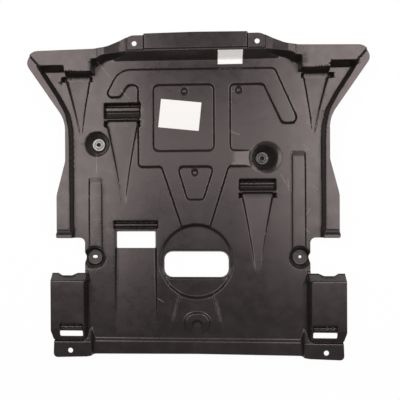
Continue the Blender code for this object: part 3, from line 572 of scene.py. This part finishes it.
class GuardShape(bpy.types.PropertyGroup):
    """Roundings of the guard."""

    fold_round: FloatProperty(name="Fold rounding", description="How far the sheet's folds are softened",
                              default=1.0 * MM, min=0.3 * MM, max=3.0 * MM, unit="LENGTH", precision=4)
    rim_round: FloatProperty(name="Rim rounding", description="Radius along the sheet's rim and holes",
                             default=0.8 * MM, min=0.1 * MM, max=1.4 * MM, unit="LENGTH", precision=4)
    insert_round: FloatProperty(name="Insert chamfer", description="Width of the inserts' chamfers",
                                default=0.5 * MM, min=0.1 * MM, max=1.0 * MM, unit="LENGTH", precision=4)


class GuardStage(bpy.types.PropertyGroup):
    """Lamps and floor."""

    left_power: FloatProperty(name="Left lamp", description="Power of the left soft box", default=17.4,
                              min=0.0, subtype="POWER")
    right_power: FloatProperty(name="Right lamp", description="Power of the right soft box", default=17.0,
                               min=0.0, subtype="POWER")
    middle_power: FloatProperty(name="Middle lamp", description="Power of the small soft box between them",
                                default=1.8, min=0.0, subtype="POWER")
    fill: FloatProperty(name="Fill", description="Strength of the even light from all round", default=0.19,
                        min=0.0, max=1.0, subtype="FACTOR")
    floor_white: FloatProperty(name="Floor white", description="Share of plain white in the floor as seen",
                               default=0.97, min=0.0, max=1.0, subtype="FACTOR")


# Pieces

FINISHES = {"black_plastic": black_plastic, "plated_steel": plated_steel, "white_paper": white_paper}
MAPS = {}
MATERIALS = {}


def material_for(slot):
    """The material of one of the record's slots, made when it is first asked for."""
    if slot not in MATERIALS:
        MATERIALS[slot] = FINISHES[slot](bpy.context.scene.guard_look)
    return MATERIALS[slot]


def new_piece(name, bm, slot, replaced):
    """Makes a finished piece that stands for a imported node."""
    mesh = bpy.data.meshes.new(name)
    bm.to_mesh(mesh)
    bm.free()
    mesh.shade_smooth()
    mesh.materials.append(material_for(slot))
    piece = bpy.data.objects.new(name, mesh)
    bpy.context.scene.collection.objects.link(piece)
    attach(piece, "root")
    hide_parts(replaced)
    return piece


class GUARD_OT_panel(bpy.types.Operator):
    """Build the moulded sheet with rounded folds and rims"""

    bl_idname = "guard.panel"
    bl_label = "Panel"

    def execute(self, context):
        shape = context.scene.guard_shape
        bm = merged_copy(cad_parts["guard_panel"])
        loops = [filled_out(loop) for loop in rim_loops(bm)]
        loops.sort(key=lambda loop: -abs(plan_area(loop)))
        sides = [sheet_side(bm, side, loops, shape.fold_round, shape.rim_round) for side in (1, -1)]
        bm.free()
        top, top_faces, top_rim, heights, top_faced = sides[0]
        under, under_faces, under_rim, _, under_faced = sides[1]
        MAPS["top"] = heights
        skin = bmesh.new()
        upper = [skin.verts.new(point) for point in top]
        lower = [skin.verts.new(point) for point in under]
        for face in top_faces:
            skin.faces.new([upper[i] for i in face])
        for face in under_faces:
            skin.faces.new([lower[i] for i in reversed(face)])
        for above, below in zip(top_rim, under_rim):
            for i, a in enumerate(above):
                k = (i + 1) % len(above)
                skin.faces.new((upper[above[k]], upper[a], lower[below[i]], lower[below[k]]))
        piece = new_piece("guard_panel_skin", skin, "black_plastic", "guard_panel")
        piece.data.normals_split_custom_set_from_vertices(np.concatenate([top_faced, under_faced]))
        return {"FINISHED"}


def insert_profile(low, high, chamfer):
    """Radius and height of a flanged insert's outline, from its foot round to the floor of its bore."""
    foot, top, c = low.z, high.z, chamfer
    step = top - HEAD_TALL
    seat = step - FLANGE_TALL
    floor = top - BORE_DEEP
    return [(0, foot), (SHANK_R - c, foot), (SHANK_R, foot + c), (SHANK_R, seat), (FLANGE_R - c, seat),
            (FLANGE_R, seat + c), (FLANGE_R, step - c), (FLANGE_R - c, step), (HEAD_R + c, step),
            (HEAD_R, step + c * 0.6), (HEAD_R, top - c), (HEAD_R - c, top), (BORE_R + c, top),
            (BORE_R, top - c), (BORE_R, floor), (0, floor)]


class GUARD_OT_inserts(bpy.types.Operator):
    """Build the flanged metal inserts of the two screw wells"""

    bl_idname = "guard.inserts"
    bl_label = "Well inserts"

    def execute(self, context):
        chamfer = context.scene.guard_shape.insert_round
        for node in ("left_well_insert", "right_well_insert"):
            low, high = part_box(node)
            x, y = (low.x + high.x) / 2, (low.y + high.y) / 2
            bm = bmesh.new()
            line = [bm.verts.new((x + r, y, z)) for r, z in insert_profile(low, high, chamfer)]
            wires = [bm.edges.new(pair) for pair in zip(line, line[1:])]
            bmesh.ops.spin(bm, geom=line + wires, cent=(x, y, 0), axis=(0, 0, 1), angle=math.tau,
                           steps=INSERT_SIDES, use_merge=True)
            bmesh.ops.remove_doubles(bm, verts=bm.verts[:], dist=JOIN)
            bmesh.ops.recalc_face_normals(bm, faces=bm.faces[:])
            piece = new_piece(f"{node}_metal", bm, "plated_steel", node)
            piece.data.set_sharp_from_angle(angle=INSERT_CREASE)
        return {"FINISHED"}


def paper_sheet(corners):
    """A thin sheet of paper that follows the tray between four corners in plan."""
    corners = [np.array(corner) for corner in corners]
    wide = np.linalg.norm(corners[1] - corners[0])
    tall = np.linalg.norm(corners[3] - corners[0])
    across, up = max(2, round(wide / PAPER_STEP)), max(2, round(tall / PAPER_STEP))
    bm = bmesh.new()
    bmesh.ops.create_grid(bm, x_segments=across, y_segments=up, size=0.5)
    for vert in bm.verts:
        s, t = vert.co.x + 0.5, vert.co.y + 0.5
        low = corners[0] * (1 - s) + corners[1] * s
        high = corners[3] * (1 - s) + corners[2] * s
        vert.co.xy = low * (1 - t) + high * t
    plan = np.array([vert.co.xy for vert in bm.verts])
    for vert, z in zip(bm.verts, MAPS["top"].height(plan)):
        vert.co.z = z + PAPER_LIFT
    raised = bmesh.ops.extrude_face_region(bm, geom=bm.faces[:])["geom"]
    bmesh.ops.translate(bm, verts=[item for item in raised if isinstance(item, bmesh.types.BMVert)],
                        vec=(0, 0, PAPER))
    bmesh.ops.recalc_face_normals(bm, faces=bm.faces[:])
    return bm


class GUARD_OT_labels(bpy.types.Operator):
    """Build the two blank paper labels"""

    bl_idname = "guard.labels"
    bl_label = "Labels"

    def execute(self, context):
        low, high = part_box("small_label")
        small = ((low.x, low.y), (high.x, low.y), (high.x, high.y), (low.x, high.y))
        low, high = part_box("large_label")
        middle = ((low + high) / 2).xy
        turn = Matrix.Rotation(LARGE_LABEL_TURN, 2)
        half_x, half_y = LARGE_LABEL_HALF
        large = [middle + turn @ Vector((x * half_x, y * half_y)) for x, y in LABEL_CORNERS]
        for node, corners in (("large_label", large), ("small_label", small)):
            piece = new_piece(f"{node}_paper", paper_sheet(corners), "white_paper", node)
            piece.data.set_sharp_from_angle(angle=PAPER_CREASE)
        return {"FINISHED"}


def seen_white(wire):
    """1 for what the camera, a reflection or a clear material looks at, and 0 for light on the object."""
    path = wire.node("ShaderNodeLightPath")
    node = path.socket.node
    glossy = Wire(wire.tree, node.outputs["Is Glossy Ray"])
    clear = Wire(wire.tree, node.outputs["Is Transmission Ray"])
    return wire.math("MAXIMUM", wire.math("MAXIMUM", path, glossy), clear)


class GUARD_OT_stage(bpy.types.Operator):
    """Set up the pale floor, the plain studio light and the camera"""

    bl_idname = "guard.stage"
    bl_label = "Stage"

    def execute(self, context):
        stage = context.scene.guard_stage
        self.make_floor(stage)
        self.make_world(stage)
        self.make_lamp("left_soft_box", LEFT_BOX, stage.left_power)
        self.make_lamp("right_soft_box", RIGHT_BOX, stage.right_power)
        self.make_lamp("middle_soft_box", MIDDLE_BOX, stage.middle_power)
        self.make_camera()
        context.scene.view_settings.view_transform = "Standard"
        return {"FINISHED"}

    def make_floor(self, stage):
        bm = bmesh.new()
        bmesh.ops.create_grid(bm, x_segments=1, y_segments=1, size=FLOOR_HALF)
        bmesh.ops.translate(bm, verts=bm.verts[:], vec=(0, 0, -FLOOR_DROP))
        mesh = bpy.data.meshes.new("floor")
        bm.to_mesh(mesh)
        bm.free()
        floor = bpy.data.objects.new("floor", mesh)
        bpy.context.scene.collection.objects.link(floor)
        material, wire, shader = new_material("pale_floor")
        shader.inputs["Base Color"].default_value = FLOOR_GREY
        shader.inputs["Roughness"].default_value = FLOOR_ROUGHNESS
        shader.inputs["Specular IOR Level"].default_value = FLOOR_GLOSS
        white = wire.node("ShaderNodeEmission", {}, {"Color": WHITE, "Strength": 1.0})
        lit = Wire(wire.tree, shader.outputs[0])
        share = seen_white(wire) * stage.floor_white
        both = wire.node("ShaderNodeMixShader", {}, {0: share, 1: lit, 2: white})
        wire.tree.links.new(both.socket, wire.tree.nodes["Material Output"].inputs["Surface"])
        mesh.materials.append(material)

    def make_world(self, stage):
        world = bpy.data.worlds.new("studio")
        world.use_nodes = True
        bpy.context.scene.world = world
        wire = Wire(world.node_tree)
        light = wire.node("ShaderNodeBackground", {}, {"Color": WHITE, "Strength": stage.fill})
        output = world.node_tree.nodes["World Output"]
        world.node_tree.links.new(light.socket, output.inputs["Surface"])

    def make_lamp(self, name, soft_box, power):
        """A soft box overhead that faces straight down."""
        at, size = soft_box
        lamp = bpy.data.lights.new(name, "AREA")
        lamp.shape = "RECTANGLE"
        lamp.size, lamp.size_y = size
        lamp.energy = power
        lamp.color = LAMP_COLOUR
        holder = bpy.data.objects.new(name, lamp)
        holder.location = (*at, LAMP_HEIGHT)
        bpy.context.scene.collection.objects.link(holder)

    def make_camera(self):
        lens = bpy.data.cameras.new("camera")
        lens.lens = CAMERA_LENS
        lens.sensor_width = CAMERA_SENSOR
        lens.shift_x = CAMERA_SHIFT
        lens.clip_end = 100.0
        camera = bpy.data.objects.new("camera", lens)
        turn = Matrix.Rotation(CAMERA_YAW, 4, "Y") @ Matrix.Rotation(CAMERA_PITCH, 4, "X")
        turn = turn @ Matrix.Rotation(CAMERA_ROLL, 4, "Z")
        camera.matrix_world = Matrix.Translation(CAMERA_AT) @ turn
        bpy.context.scene.collection.objects.link(camera)
        bpy.context.scene.camera = camera


class GUARD_PT_panel(bpy.types.Panel):
    """Lists the guard's pieces and settings."""

    bl_idname = "GUARD_PT_panel"
    bl_label = "Engine guard"
    bl_space_type = "VIEW_3D"
    bl_region_type = "UI"
    bl_category = "Engine guard"

    def draw(self, context):
        for group in (context.scene.guard_shape, context.scene.guard_look, context.scene.guard_stage):
            for name in group.__annotations__:
                self.layout.prop(group, name)
        for operator in OPERATORS:
            self.layout.operator(operator.bl_idname)


GROUPS = (GuardShape, GuardLook, GuardStage)
OPERATORS = (GUARD_OT_panel, GUARD_OT_inserts, GUARD_OT_labels, GUARD_OT_stage)


def register():
    for item in (*GROUPS, *OPERATORS, GUARD_PT_panel):
        bpy.utils.register_class(item)
    bpy.types.Scene.guard_shape = PointerProperty(type=GuardShape)
    bpy.types.Scene.guard_look = PointerProperty(type=GuardLook)
    bpy.types.Scene.guard_stage = PointerProperty(type=GuardStage)


def unregister():
    del bpy.types.Scene.guard_stage
    del bpy.types.Scene.guard_look
    del bpy.types.Scene.guard_shape
    for item in reversed((*GROUPS, *OPERATORS, GUARD_PT_panel)):
        bpy.utils.unregister_class(item)


def main():
    register()
    bpy.ops.guard.panel()
    bpy.ops.guard.inserts()
    bpy.ops.guard.labels()
    bpy.ops.guard.stage()


if __name__ == "__main__":
    main()
